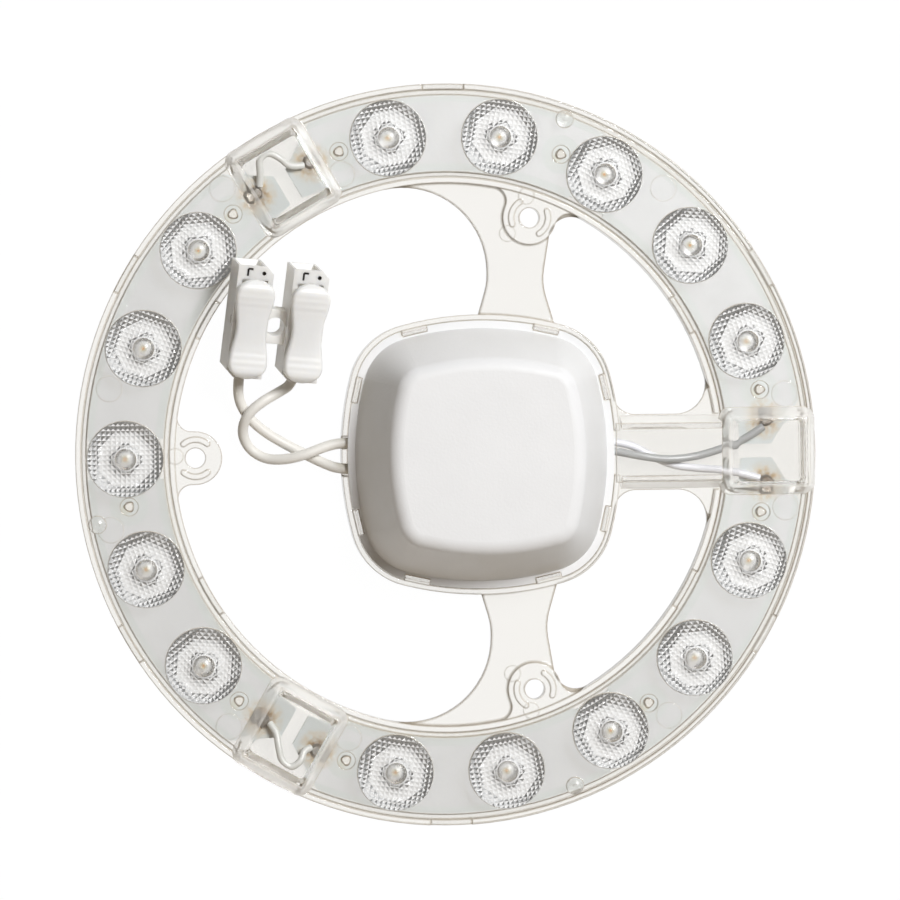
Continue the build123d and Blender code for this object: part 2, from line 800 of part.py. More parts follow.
save(wire("driver_wire_grey", grey_route, wire_diameter), "driver_wire_grey")
save(wire("driver_wire_white", white_route, wire_diameter), "driver_wire_white")

# Jumper wires across the other two boxes: out from the lens circle, along the ring and up from the board
jumper_z = jumper_diameter / 2 + wire_gap
jumper_routes = {
    ("jumper_wire_1", sector): [
        (0.9, wire_end, jumper_z),
        (3.2, 3.4, jumper_z + jumper_rise / 2),
        (5.6, 2.4, jumper_z + jumper_rise),
        (6.0, 0.1, jumper_z + jumper_rise),
        (3.9, -1.4, jumper_z + jumper_rise),
        (1.2, -2.3, jumper_z + jumper_rise / 2),
        (0.0, -wire_end, jumper_z),
    ],
    ("jumper_wire_2", 2 * sector): [
        (-0.3, -wire_end, jumper_z),
        (0.7, -2.7, jumper_z + jumper_rise / 2),
        (3.0, -1.0, jumper_z + jumper_rise),
        (5.2, 0.9, jumper_z + jumper_rise),
        (5.6, 3.3, jumper_z + jumper_rise),
        (3.3, 4.4, jumper_z + jumper_rise),
        (1.2, 3.9, jumper_z + jumper_rise / 2),
        (0.0, wire_end, jumper_z),
    ],
}
for (jumper_name, box_angle), jumper_route in jumper_routes.items():
    box_plane = Plane(polar(lens_circle, box_angle, board_top), x_dir=polar(1, box_angle))
    route = [tuple(box_plane.from_local_coords(point)) for point in jumper_route]
    save(wire(jumper_name, route, jumper_diameter), jumper_name)

# Frame of the push-in terminal as it lies: X across the poles, Y along them, Z out of the buttons
terminal_origin = polar(ring_bore - terminal_inset, terminal_angle, terminal_lift)
terminal = Plane(Location(terminal_origin) * Rotation(0, 0, terminal_yaw) * Rotation(terminal_pitch, 0, 0)
                 * Rotation(0, terminal_roll, 0))
pole_sides = {"left": -pole_pitch / 2, "right": pole_pitch / 2}
pocket_length = pole_length - deck_length - pole_wall
pivot_z = pole_height - pivot_drop
rocker_bottom = pole_height + rocker_gap + rocker_length / 2 * sin(radians(rocker_rock))
rocker_middle = pole_length - rocker_setback - rocker_length / 2


def in_terminal(plane):
    """A plane given in the terminal's own frame."""
    return Plane(terminal.location * plane.location)


# Terminal body: two chamfered poles, a bridge with a hole between them, wire entries at both ends
with BuildPart() as terminal_body:
    with BuildSketch(terminal) as poles:
        with Locations(*[(x, pole_length / 2) for x in pole_sides.values()]):
            Rectangle(pole_width, pole_length)
        near_left = [nearest_corner(poles, x - pole_width / 2, 0) for x in pole_sides.values()]
        far_right = [nearest_corner(poles, x + pole_width / 2, pole_length) for x in pole_sides.values()]
        chamfer(near_left + far_right, pole_corner)
    extrude(amount=pole_height)
    with BuildSketch(terminal.offset(bridge_lift)):
        with Locations((0, bridge_start + bridge_span / 2)):
            Rectangle(pole_pitch - pole_width + pole_wall, bridge_span)
            Circle(bridge_hole, mode=Mode.SUBTRACT)
    extrude(amount=bridge_thickness)
    with BuildSketch(terminal.offset(pole_wall)):
        with Locations(*[(x, pole_wall + pocket_length / 2) for x in pole_sides.values()]):
            Rectangle(pole_width - 2 * pole_wall, pocket_length)
    extrude(amount=pole_height, mode=Mode.SUBTRACT)
    with BuildSketch(in_terminal(Plane.XZ)):
        with Locations(*[(x, pole_wall + entry_height / 2) for x in pole_sides.values()]):
            RectangleRounded(entry_width, entry_height, entry_width / 6)
    extrude(amount=-pole_length, mode=Mode.SUBTRACT)
    with BuildSketch(in_terminal(Plane.XZ.offset(-pole_length))):
        with Locations(*[(x - pole_corner / 2, pole_height / 2) for x in pole_sides.values()]):
            Rectangle(pole_width - pole_corner - 2 * mouth_wall, pole_height - 2 * mouth_wall)
    extrude(amount=mouth_depth, taper=mouth_draft, mode=Mode.SUBTRACT)
    with BuildSketch(in_terminal(Plane.YZ)):
        with Locations((rocker_middle, pivot_z)):
            Circle(pivot_radius + pivot_clearance)
    extrude(amount=pole_pitch, both=True, mode=Mode.SUBTRACT)
    with BuildSketch(terminal.offset(pole_height - slit_depth)):
        slit_y = pole_length - deck_length / 2
        slit_x = pole_width / 2 - 2 * pole_wall
        with Locations(*[(x - slit_x, slit_y) for x in pole_sides.values()]):
            Rectangle(slit_width, deck_length / 2)
        foot_y = slit_y + deck_length / 4
        with Locations(*[(x - slit_x + pole_wall / 2, foot_y) for x in pole_sides.values()]):
            Rectangle(pole_wall, slit_width)
        with Locations(*[(x + slit_x, slit_y) for x in pole_sides.values()]):
            Circle(slit_width)
    extrude(amount=slit_depth, mode=Mode.SUBTRACT)
save(terminal_body.part, "terminal_body")

# Rocker buttons: waisted plates with raised, softly ridged ends, each on a boss with two stub axles
for side, x in pole_sides.items():
    with BuildPart() as rocker:
        with BuildSketch(terminal.offset(rocker_bottom)):
            with Locations((x, rocker_middle)):
                RectangleRounded(rocker_width, rocker_length, rocker_corner)
                with Locations(*[(edge * (rocker_waist / 2 + waist_cut), 0) for edge in (1, -1)]):
                    Circle(waist_cut, mode=Mode.SUBTRACT)
        extrude(amount=rocker_width)
        with BuildSketch(in_terminal(Plane.YZ.offset(x))):
            with BuildLine():
                near_half = [(rocker_middle - y, rocker_bottom + z) for y, z in reversed(rocker_profile[1:])]
                far_half = [(rocker_middle + y, rocker_bottom + z) for y, z in rocker_profile]
                button_top = Spline(*near_half, *far_half)
                Polyline(
                    button_top @ 1,
                    (rocker_middle + rocker_length / 2, rocker_bottom),
                    (rocker_middle - rocker_length / 2, rocker_bottom),
                    button_top @ 0,
                )
            make_face()
        extrude(amount=rocker_width, both=True, mode=Mode.INTERSECT)
        with BuildSketch(in_terminal(Plane.YZ.offset(x))):
            boss_bottom = pivot_z - pivot_radius
            with Locations((rocker_middle, (boss_bottom + rocker_bottom) / 2)):
                Rectangle(boss_length, rocker_bottom - boss_bottom)
        extrude(amount=pole_width / 2 - pole_wall - boss_clearance, both=True)
        with BuildSketch(in_terminal(Plane.YZ.offset(x))):
            with Locations((rocker_middle, pivot_z)):
                Circle(pivot_radius)
        extrude(amount=pole_width / 2 - boss_clearance, both=True)
    save(rocker.part, f"rocker_{side}")

    # Contact strip of the pole: a flat run on the pocket's floor with a leaf turned up at each end
    with BuildPart() as contact:
        with BuildSketch(in_terminal(Plane.YZ.offset(x))):
            with BuildLine():
                strip_z = pole_wall + spring_strip / 2
                leaf = entry_height + pole_wall
                first = pole_wall + leaf / 2
                last = pole_wall + pocket_length - leaf / 2
                Polyline((first, leaf), (first + leaf / 2, strip_z), (last - leaf / 2, strip_z), (last, leaf))
            trace(line_width=spring_strip)
        extrude(amount=spring_width / 2, both=True)
    save(contact.part, f"contact_strip_{side}")

# Mains leads: from the driver board through the seat's slots to the terminal's near entries
lead_z = floor_thickness + lead_diameter / 2 + lead_slot_gap / 2
lead_start = driver_x - half_board
entry_z = pole_wall + entry_height / 2


def entry_point(side, along):
    """A point on the middle line of a pole's wire entry."""
    return tuple(terminal.from_local_coords((pole_sides[side], along, entry_z)))


lead_routes = {
    "mains_lead_1": [
        (lead_start, -lead_spacing / 2, lead_z),
        (seat_left, -lead_spacing / 2, lead_z),
        (-25.4, -1.2, 1.9),
        (-29.4, 0.9, 1.2),
        (-33.4, 3.0, 1.2),
        (-37.2, 5.4, 1.5),
        (-40.3, 8.4, 2.4),
        (-42.0, 11.6, 4.0),
        entry_point("left", -2.0),
        entry_point("left", 2.4),
    ],
    "mains_lead_2": [
        (lead_start, lead_spacing / 2, lead_z),
        (seat_left, lead_spacing / 2, lead_z),
        (-25.2, 1.8, 3.3),
        (-29.0, 0.3, 3.9),
        (-33.0, -0.6, 2.9),
        (-36.8, -0.4, 1.6),
        (-40.0, 1.7, 1.4),
        (-41.5, 5.2, 2.9),
        (-40.4, 8.7, 5.1),
        (-37.4, 11.2, 5.1),
        (-34.4, 12.8, 4.1),
        entry_point("right", -1.2),
        entry_point("right", 2.4),
    ],
}
for lead_name, lead_route in lead_routes.items():
    save(wire(lead_name, lead_route, lead_diameter), lead_name)
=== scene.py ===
from math import atan2, cos, hypot, pi, radians, sin, sqrt

import bmesh
import bpy
from mathutils import Matrix, Vector
from mathutils.geometry import delaunay_2d_cdt


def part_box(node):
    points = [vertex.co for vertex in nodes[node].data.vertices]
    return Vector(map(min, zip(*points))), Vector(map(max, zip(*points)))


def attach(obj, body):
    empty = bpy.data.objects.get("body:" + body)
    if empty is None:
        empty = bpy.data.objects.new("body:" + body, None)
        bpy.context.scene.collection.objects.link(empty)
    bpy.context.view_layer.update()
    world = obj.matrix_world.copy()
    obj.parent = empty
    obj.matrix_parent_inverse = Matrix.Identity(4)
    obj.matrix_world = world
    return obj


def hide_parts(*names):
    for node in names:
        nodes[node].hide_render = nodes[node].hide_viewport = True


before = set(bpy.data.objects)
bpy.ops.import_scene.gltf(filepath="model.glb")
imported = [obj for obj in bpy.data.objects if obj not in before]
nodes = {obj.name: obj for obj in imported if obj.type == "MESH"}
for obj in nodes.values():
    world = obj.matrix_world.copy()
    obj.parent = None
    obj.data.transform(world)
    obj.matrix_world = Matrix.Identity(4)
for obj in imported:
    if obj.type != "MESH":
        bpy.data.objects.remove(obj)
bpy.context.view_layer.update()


# Base tray: the moulding that carries everything, with the ring's channel, screw ears, webs and driver seat.
# Clear polycarbonate from a polished mould, faintly ivory. Its upright walls and the lines along
# its crisp edges are tinted brown as painted shade.
# It lies flat on the lamp's pan and is held by a screw through each ear.
mm = 0.001
edge_lean = (1.9, 1.9, 1.0)
# Edge lines are milky and lit by the lamps over a leaned rounding, and tinted darker brown as painted shade.
edge_line_painted_shade = {"reach": 0.42 * mm, "shade": (0.68, 0.6, 0.49), "milkiness": 0.84}
web_line_painted_shade = {"reach": 0.95 * mm, "shade": (0.55, 0.47, 0.37), "milkiness": 0.9}
web_limit = 1.6 * mm
ring_bore = 55.0 * mm
arm_start = 30.0 * mm
arm_half_width = 12.0 * mm
upright = 0.2


def new_material(name):
    """An empty material and its output node."""
    material = bpy.data.materials.new(name)
    material.use_nodes = True
    material.node_tree.nodes.clear()
    output = material.node_tree.nodes.new("ShaderNodeOutputMaterial")
    return material, output


def add_node(material, kind, values=None, **settings):
    """A shader node with its settings and the values on its sockets."""
    node = material.node_tree.nodes.new(kind)
    for setting, value in settings.items():
        setattr(node, setting, value)
    for socket, value in (values or {}).items():
        node.inputs[socket].default_value = value
    return node


def link(material, source, socket, target, target_socket):
    """Join one node's output to another node's input."""
    material.node_tree.links.new(source.outputs[socket], target.inputs[target_socket])


def noise_between(material, scale, low, high, detail=2.0):
    """A noise in the object's own space, mapped to run between two values."""
    place = add_node(material, "ShaderNodeTexCoord")
    noise = add_node(material, "ShaderNodeTexNoise", {"Scale": scale, "Detail": detail})
    link(material, place, "Object", noise, "Vector")
    spread = add_node(material, "ShaderNodeMapRange", {
        "From Min": 0.3,
        "From Max": 0.7,
        "To Min": low,
        "To Max": high,
    })
    link(material, noise, "Fac", spread, "Value")
    return spread


def fade(material, source, socket, start, end):
    """A mask that goes from 0 to 1 as a value goes from start to end."""
    step = add_node(material, "ShaderNodeMapRange", {"From Min": start, "From Max": end})
    link(material, source, socket, step, "Value")
    return step


def paint_over(material, under, colour, mask):
    """A colour laid over what is under it, by a mask. What is under it is a colour or a node."""
    coat = add_node(material, "ShaderNodeMix", data_type="RGBA")
    if isinstance(under, tuple):
        coat.inputs["A"].default_value = (*under, 1.0)
    else:
        link(material, under, "Result", coat, "A")
    coat.inputs["B"].default_value = (*colour, 1.0)
    link(material, mask, 0, coat, "Factor")
    return coat


def mix_shaders(material, first, second, share):
    """Two shaders mixed. The share of the second one is a number or a node's output."""
    both = add_node(material, "ShaderNodeMixShader")
    if isinstance(share, float):
        both.inputs["Fac"].default_value = share
    else:
        material.node_tree.links.new(share, both.inputs["Fac"])
    material.node_tree.links.new(first, both.inputs[1])
    material.node_tree.links.new(second, both.inputs[2])
    return both.outputs["Shader"]


def round_edges(material, reach):
    """The rounding of crisp edges, leaned outward, and a mask: 1 at an edge and 0 beyond the reach."""
    rounded = add_node(material, "ShaderNodeBevel", {"Radius": reach}, samples=6)
    facing = add_node(material, "ShaderNodeNewGeometry")
    alike = add_node(material, "ShaderNodeVectorMath", operation="DOT_PRODUCT")
    link(material, rounded, "Normal", alike, 0)
    link(material, facing, "Normal", alike, 1)
    mask = fade(material, alike, "Value", start=0.99, end=0.9)
    leaning = add_node(material, "ShaderNodeVectorMath", {1: edge_lean}, operation="MULTIPLY")
    link(material, rounded, "Normal", leaning, 0)
    return leaning, mask


def clear_plastic(
    name, tint, passed, clearness, roughness, flow_depth=0.0, edge=None, scatter=None, bend=1.5,
):
    """Clear moulded plastic, a little uneven in polish, that lets a share of the lamp light pass.

    The edge is a line along its crisp edges, milky and lit by the lamps, darkened by painted shade.
    The scatter is light that its surface spreads by itself.
    """
    material, output = new_material(name)
    body = add_node(material, "ShaderNodeBsdfPrincipled", {
        "Base Color": (*tint, 1.0),
        "Transmission Weight": clearness,
        "IOR": bend,
    })
    uneven = noise_between(material, scale=260.0, low=0.6 * roughness, high=1.5 * roughness)
    link(material, uneven, "Result", body, "Roughness")
    flow = noise_between(material, scale=55.0, low=0.0, high=1.0)
    ripple = add_node(material, "ShaderNodeBump", {"Strength": 0.25, "Distance": flow_depth})
    link(material, flow, "Result", ripple, "Height")
    link(material, ripple, "Normal", body, "Normal")
    if edge:
        leaning, mask = round_edges(material, edge["reach"])
        link(material, leaning, "Vector", ripple, "Normal")
        # The edge colour laid over the tint is painted shade.
        line = paint_over(material, tint, edge["shade"], mask)
        link(material, line, "Result", body, "Base Color")
        clear = fade(material, mask, "Result", start=0.0, end=1.0)
        clear.inputs["To Min"].default_value = clearness
        clear.inputs["To Max"].default_value = 1.0 - edge["milkiness"]
        link(material, clear, "Result", body, "Transmission Weight")
    shader = body.outputs["BSDF"]
    if scatter:
        material.cycles.use_bump_map_correction = False
        facing = add_node(material, "ShaderNodeNewGeometry")
        across = add_node(material, "ShaderNodeVectorMath", operation="MULTIPLY_ADD")
        link(material, facing, "Normal", across, 0)
        across.inputs[1].default_value = scatter["turn"]
        across.inputs[2].default_value = scatter["lift"]
        spread = add_node(material, "ShaderNodeBsdfDiffuse", {"Color": (*tint, 1.0)})
        link(material, across, "Vector", spread, "Normal")
        shader = mix_shaders(material, shader, spread.outputs["BSDF"], scatter["share"])
    passing = add_node(material, "ShaderNodeBsdfTransparent", {"Color": (*passed, 1.0)})
    path = add_node(material, "ShaderNodeLightPath")
    for kind in ("Is Diffuse Ray", "Is Shadow Ray"):
        shader = mix_shaders(material, shader, passing.outputs["BSDF"], path.outputs[kind])
    material.node_tree.links.new(shader, output.inputs["Surface"])
    return material


def finish_node(name, *materials):
    """Give a solid's object its materials."""
    solid = nodes[name]
    solid.data.materials.clear()
    for material in materials:
        solid.data.materials.append(material)
    return solid


tray_clear = clear_plastic(
    "clear_tray",
    tint=(0.975, 0.96, 0.93),
    passed=(0.97, 0.96, 0.93),
    clearness=0.96,
    roughness=0.04,
    flow_depth=0.05 * mm,
    edge=edge_line_painted_shade,
)
# Upright walls are tinted brown: painted shade for the dark bands that clear walls show when seen along
# their faces.
wall_painted_shade = clear_plastic(
    "clear_walls_painted_shade",
    tint=(0.54, 0.48, 0.39),
    passed=(0.97, 0.96, 0.93),
    clearness=0.8,
    roughness=0.05,
)
web_clear = clear_plastic(
    "clear_webs",
    tint=(0.97, 0.955, 0.925),
    passed=(0.97, 0.96, 0.93),
    clearness=0.96,
    roughness=0.04,
    flow_depth=0.05 * mm,
    edge=web_line_painted_shade,
)
tray_finishes = [tray_clear, wall_painted_shade, web_clear]
tray = finish_node("base_tray", *tray_finishes)
for face in tray.data.polygons:
    off_axis = hypot(face.center.x, face.center.y)
    on_arm = face.center.x > arm_start and abs(face.center.y) < arm_half_width
    if abs(face.normal.z) < upright:
        face.material_index = tray_finishes.index(wall_painted_shade)
    elif face.normal.z > 0 and face.center.z < web_limit and off_axis < ring_bore and not on_arm:
        face.material_index = tray_finishes.index(web_clear)


# Lamp boards: three arcs of laminate under white solder mask, laid in the tray's channel over its posts.
# The mask is a shade greener at the edges and round the posts, where no copper lies under it.
# Brown flux has run out round the hand-soldered joints at both ends.
sector = 120
lens_circle = 65.0 * mm
copper_inner = 59.0 * mm
copper_outer = 71.3 * mm
copper_blur = 0.05 * mm
post_angles = (11.0, 68.5, 109.0)
post_clearing = 3.9 * mm
solder_turn = 5.65
end_reach = 8.6 * mm
end_blur = 0.4 * mm
bare_laminate = (0.75, 0.775, 0.77)
box_painted_shade = (0.66, 0.69, 0.685)
flux_stains = (
    {"colour": (0.62, 0.45, 0.24), "start": 4.6 * mm, "end": 2.2 * mm},
    {"colour": (0.2, 0.12, 0.06), "start": 2.9 * mm, "end": 1.5 * mm},
)


def ring_point(radius, angle, height=0.0):
    """A point at a radius and an angle in degrees round the ring's axis."""
    return Vector((radius * cos(radians(angle)), radius * sin(radians(angle)), height))


def fold_round(material, turn):
    """The distance from the ring's axis, and the place turned back into the first of the sectors."""
    place = add_node(material, "ShaderNodeTexCoord")
    parts = add_node(material, "ShaderNodeSeparateXYZ")
    link(material, place, "Object", parts, "Vector")
    flat = add_node(material, "ShaderNodeCombineXYZ")
    link(material, parts, "X", flat, "X")
    link(material, parts, "Y", flat, "Y")
    radius = add_node(material, "ShaderNodeVectorMath", operation="LENGTH")
    link(material, flat, "Vector", radius, 0)
    angle = add_node(material, "ShaderNodeMath", operation="ARCTAN2")
    link(material, parts, "Y", angle, 0)
    link(material, parts, "X", angle, 1)
    folded = add_node(material, "ShaderNodeMath", {1: radians(turn)}, operation="FLOORED_MODULO")
    link(material, angle, "Value", folded, 0)
    result = add_node(material, "ShaderNodeCombineXYZ")
    for axis, wave in (("X", "COSINE"), ("Y", "SINE")):
        share = add_node(material, "ShaderNodeMath", operation=wave)
        link(material, folded, "Value", share, 0)
        reach = add_node(material, "ShaderNodeMath", operation="MULTIPLY")
        link(material, share, "Value", reach, 0)
        link(material, radius, "Value", reach, 1)
        link(material, reach, "Value", result, axis)
    return radius, result


def join_masks(material, first, second, operation="MAXIMUM"):
    """Two masks put together."""
    both = add_node(material, "ShaderNodeMath", operation=operation)
    link(material, first, 0, both, 0)
    link(material, second, 0, both, 1)
    return both


def near_points(material, place, points, start, end):
    """A mask round several points: 0 beyond the start distance and 1 within the end distance."""
    mask = None
    for point in points:
        gap = add_node(material, "ShaderNodeVectorMath", operation="DISTANCE")
        link(material, place, "Vector", gap, 0)
        gap.inputs[1].default_value = point
        spot = fade(material, gap, "Value", start, end)
        mask = join_masks(material, mask, spot) if mask else spot
    return mask


def grained_parts(name, colour, roughness, grain, depth, mottle=0.03, values=None):
    """An opaque surface with a fine grain, a little uneven in colour and gloss, with its shader and tone."""
    material, output = new_material(name)
    body = add_node(material, "ShaderNodeBsdfPrincipled", values)
    tone = paint_over(
        material,
        tuple(channel * (1 - mottle) for channel in colour),
        tuple(min(1.0, channel * (1 + mottle)) for channel in colour),
        noise_between(material, scale=120.0, low=0.0, high=1.0, detail=3.0),
    )
    link(material, tone, "Result", body, "Base Color")
    gloss = noise_between(material, scale=300.0, low=0.85 * roughness, high=min(1.0, 1.15 * roughness))
    link(material, gloss, "Result", body, "Roughness")
    bumps = noise_between(material, grain, low=0.0, high=1.0)
    relief = add_node(material, "ShaderNodeBump", {"Strength": 0.5, "Distance": depth})
    link(material, bumps, "Result", relief, "Height")
    link(material, relief, "Normal", body, "Normal")
    link(material, body, "BSDF", output, "Surface")
    return material, body, tone


board_white, mask_body, mask_tone = grained_parts(
    "board_white", (0.785, 0.79, 0.8), roughness=0.4, grain=900.0, depth=0.02 * mm,
)
board_reach, folded_place = fold_round(board_white, sector)
bare_edge = join_masks(
    board_white,
    fade(board_white, board_reach, "Value", copper_inner + copper_blur, copper_inner - copper_blur),
    fade(board_white, board_reach, "Value", copper_outer - copper_blur, copper_outer + copper_blur),
)
post_places = [ring_point(lens_circle, angle) for angle in post_angles]
bare_posts = near_points(
    board_white, folded_place, post_places, post_clearing + copper_blur, post_clearing - copper_blur,
)
bare = join_masks(board_white, bare_edge, bare_posts)
mask_tone = paint_over(board_white, mask_tone, bare_laminate, bare)
# Within the joint boxes the boards are painted darker: painted shade under the boxes.
end_places = [ring_point(lens_circle, 0), ring_point(lens_circle, sector)]
ends = near_points(board_white, folded_place, end_places, end_reach + end_blur, end_reach)
mask_tone = paint_over(board_white, mask_tone, box_painted_shade, ends)
solder_places = [ring_point(lens_circle, angle) for angle in (solder_turn, sector - solder_turn)]
ragged = noise_between(board_white, scale=900.0, low=0.0, high=1.0, detail=4.0)
for stain in flux_stains:
    spots = near_points(board_white, folded_place, solder_places, stain["start"], stain["end"])
    spots = join_masks(board_white, spots, ragged, "MULTIPLY")
    mask_tone = paint_over(board_white, mask_tone, stain["colour"], spots)
link(board_white, mask_tone, "Result", mask_body, "Base Color")
for number in (1, 2, 3):
    finish_node(f"led_board_{number}", board_white)


# Post heads: the clear tops of the tray's posts, melted over with a hot iron to hold the boards down.
# The iron has left each head low, with three blunt corners.
head_bottom = 3.7 * mm
head_top = 4.05 * mm
head_reach = 1.05 * mm
head_taper = 0.8
head_sides = 36
head_corners = 3
corner_swell = 0.14
corner_turn = 70
# The sides of the heads take the brown walls' painted shade.
head_finishes = [tray_clear, wall_painted_shade]
heads = bmesh.new()
for start in range(0, 360, sector):
    for number, post_angle in enumerate(post_angles):
        middle = ring_point(lens_circle, start + post_angle, head_bottom)
        low_ring = []
        high_ring = []
        for step in range(head_sides):
            angle = 360 * step / head_sides
            swell = corner_swell * cos(radians(head_corners * angle + corner_turn * number + start))
            reach = head_reach * (1.0 + swell)
            low_ring.append(heads.verts.new(middle + ring_point(reach, angle)))
            rim_point = ring_point(head_taper * reach, angle, head_top - head_bottom)
            high_ring.append(heads.verts.new(middle + rim_point))
        heads.faces.new(list(reversed(low_ring)))
        heads.faces.new(high_ring)
        for i in range(head_sides):
            j = (i + 1) % head_sides
            side = heads.faces.new((low_ring[i], low_ring[j], high_ring[j], high_ring[i]))
            side.smooth = True
            side.material_index = head_finishes.index(wall_painted_shade)
head_mesh = bpy.data.meshes.new("post_heads")
for material in head_finishes:
    head_mesh.materials.append(material)
heads.to_mesh(head_mesh)
heads.free()
post_heads = bpy.data.objects.new("post_heads", head_mesh)
bpy.context.scene.collection.objects.link(post_heads)
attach(post_heads, "module")


# LED chips: one package under each lens, a white ceramic-filled body with a sunk window of yellow phosphor.
# They are reflow soldered to the boards, and the die shows through the phosphor as an orange spot.
lens_pitch = 20
lens_angles = [angle for angle in range(0, 360, lens_pitch) if angle % sector]
die_radius = 0.42 * mm
die_orange = (0.82, 0.33, 0.04)
window_reach = 1.2 * mm
window_bottom = 2.5 * mm
window_top = 3.05 * mm


def grained(*sizes, **options):
    """A grained surface that needs no more paint."""
    material, _, _ = grained_parts(*sizes, **options)
    return material


chip_white = grained("chip_white", (0.86, 0.85, 0.8), roughness=0.4, grain=900.0, depth=0.01 * mm)
phosphor, phosphor_body, phosphor_tone = grained_parts(
    "phosphor", (0.72, 0.66, 0.48), roughness=0.35, grain=1800.0, depth=0.01 * mm,
)
_, window_place = fold_round(phosphor, lens_pitch)
die_places = [ring_point(lens_circle, 0), ring_point(lens_circle, lens_pitch)]
die = near_points(phosphor, window_place, die_places, start=1.4 * die_radius, end=0.7 * die_radius)
phosphor_tone = paint_over(phosphor, phosphor_tone, die_orange, die)
link(phosphor, phosphor_tone, "Result", phosphor_body, "Base Color")
chip_finishes = [chip_white, phosphor]
for number, angle in enumerate(lens_angles, start=1):
    chip = finish_node(f"led_chip_{number:02d}", *chip_finishes)
    chip_middle = ring_point(lens_circle, angle)
    for face in chip.data.polygons:
        off_middle = hypot(face.center.x - chip_middle.x, face.center.y - chip_middle.y)
        if off_middle < window_reach and window_bottom < face.center.z < window_top:
            face.material_index = chip_finishes.index(phosphor)


# Solder joints and jumpers: hand-soldered domes of tin, and two short bridges of sleeved wire.
# The tin has set rough and carries burnt flux; the sleeves are thin, half clear plastic.
# The bridges join the boards where two of their ends meet.
burnt_flux = (0.16, 0.11, 0.07)
solder_tin, tin_body, tin_tone = grained_parts(
    "solder_tin", (0.34, 0.33, 0.31), roughness=0.4, grain=900.0, depth=0.08 * mm, mottle=0.25,
    values={"Metallic": 0.5},
)
burnt = noise_between(solder_tin, scale=700.0, low=0.0, high=1.0, detail=4.0)
tin_tone = paint_over(solder_tin, tin_tone, burnt_flux, burnt)
link(solder_tin, tin_tone, "Result", tin_body, "Base Color")
finish_node("solder_joints", solder_tin)
jumper_sleeve = grained("jumper_sleeve", (0.8, 0.8, 0.775), roughness=0.35, grain=600.0, depth=0.02 * mm)
for name in ("jumper_wire_1", "jumper_wire_2"):
    finish_node(name, jumper_sleeve)


# Lens ring: plate, fifteen lenses, three joint boxes, wire tunnel and clips in one clear acrylic moulding.
# Each lens is a ring-shaped crown covered with small prisms that break the light up, round a smooth middle.
# It is pressed into the tray's channel until its clips catch in the notches of the rims.
lens_reach = 7.65 * mm
lens_margin = 0.05 * mm
lens_foot_z = 5.5 * mm
lens_crown = 4.4 * mm
lens_crown_z = 8.7 * mm
pupil = 2.15 * mm
pupil_z = 7.4 * mm
pupil_rise = -0.25 * mm
pupil_rings = (0.1, 0.25, 0.4, 0.55, 0.7, 0.85, 1.0)
pupil_surround = pupil + 0.5 * mm
bead_ring = 2.45 * mm
bead_count = 36
bead_height = 0.03 * mm
prism_inner = 2.75 * mm
prism_outer = lens_reach - 0.1 * mm
prism_width = 0.96 * mm
prism_height = 0.28 * mm
steepest_share = 2.2
cavity_top = 6.4 * mm
cavity_reach = pupil + 1.0 * mm
gate_angles = (70.0, 190.5, 290.5)
gate_circle = 72.0 * mm
gate_reach = 1.7 * mm
gate_z = 4.9 * mm
gate_margin = 0.01 * mm
gate_rise = 0.6 * mm
gate_rings = (0.15, 0.28, 0.32, 0.5, 0.7, 0.85)
gate_sides = 36
stub_rise = 0.12 * mm
stub_reach = 0.3 * gate_reach
box_half_width = 9.0 * mm
box_foot = 4.6 * mm
rim_search = 12.0 * mm
facing_up = 0.9
level = 0.98
crease_angle = 28
weld_gap = 0.0005 * mm
plan_gap = 0.002 * mm
touch = 0.001 * mm


def smooth_rounds(mesh):
    """Smooth the round faces of a mesh and keep its edges crisp."""
    mesh.shade_smooth()
    mesh.set_sharp_from_angle(angle=radians(crease_angle))


def crown_height(reach):
    """Height of the lens's smooth surface at a distance from its axis."""
    if reach > lens_crown:
        across = min(1.0, (reach - lens_crown) / (lens_reach - lens_crown))
        return lens_foot_z + (lens_crown_z - lens_foot_z) * (1.0 - across**2)
    if reach > pupil:
        across = (reach - pupil) / (lens_crown - pupil)
        return pupil_z + (lens_crown_z - pupil_z) * sin(pi / 2 * across)
    return pupil_z + pupil_rise * (1.0 - (reach / pupil) ** 2)


def crown_slope(reach):
    """How far the smooth lens faces up at a distance from its axis: 1 where level, 0 where upright."""
    step = 0.01 * mm
    rise = crown_height(reach + step) - crown_height(reach - step)
    return 2 * step / hypot(2 * step, rise)


def facet_lines():
    """Plan of the prisms' edges as chords of the lens: the cells' borders both ways and their diagonals."""
    chords = []
    half = prism_width * sin(radians(45))
    for angle, pitch in ((0, prism_width), (90, prism_width), (45, half), (135, half)):
        along = Vector((cos(radians(angle)), sin(radians(angle))))
        count = int(prism_outer / pitch)
        for step in range(-count, count + 1):
            foot = along.orthogonal() * step * pitch
            far = sqrt(prism_outer**2 - foot.length_squared)
            near = sqrt(max(0.0, prism_inner**2 - foot.length_squared))
            spans = [(-far, -near), (near, far)] if near else [(-far, far)]
            for start, end in spans:
                chords.append((foot + along * start, foot + along * end))
    return chords


def prism_lift(place):
    """How far a prism or a bead stands above the smooth lens at a place in its plan."""
    if abs(place.length - bead_ring) < touch:
        return bead_height * (1.0 + cos(bead_count * (atan2(place.y, place.x) - pi / (2 * bead_count))))
    if not prism_inner - touch < place.length < prism_outer + touch:
        return 0.0
    off_middle = max(abs(value / prism_width % 1.0 - 0.5) for value in place)
    steepness = min(steepest_share, 1.0 / crown_slope(place.length))
    return prism_height * (1.0 - 2.0 * off_middle) * steepness


def lens_height(place):
    """Height of a lens at a place in its plan."""
    return crown_height(place.length) + prism_lift(place)


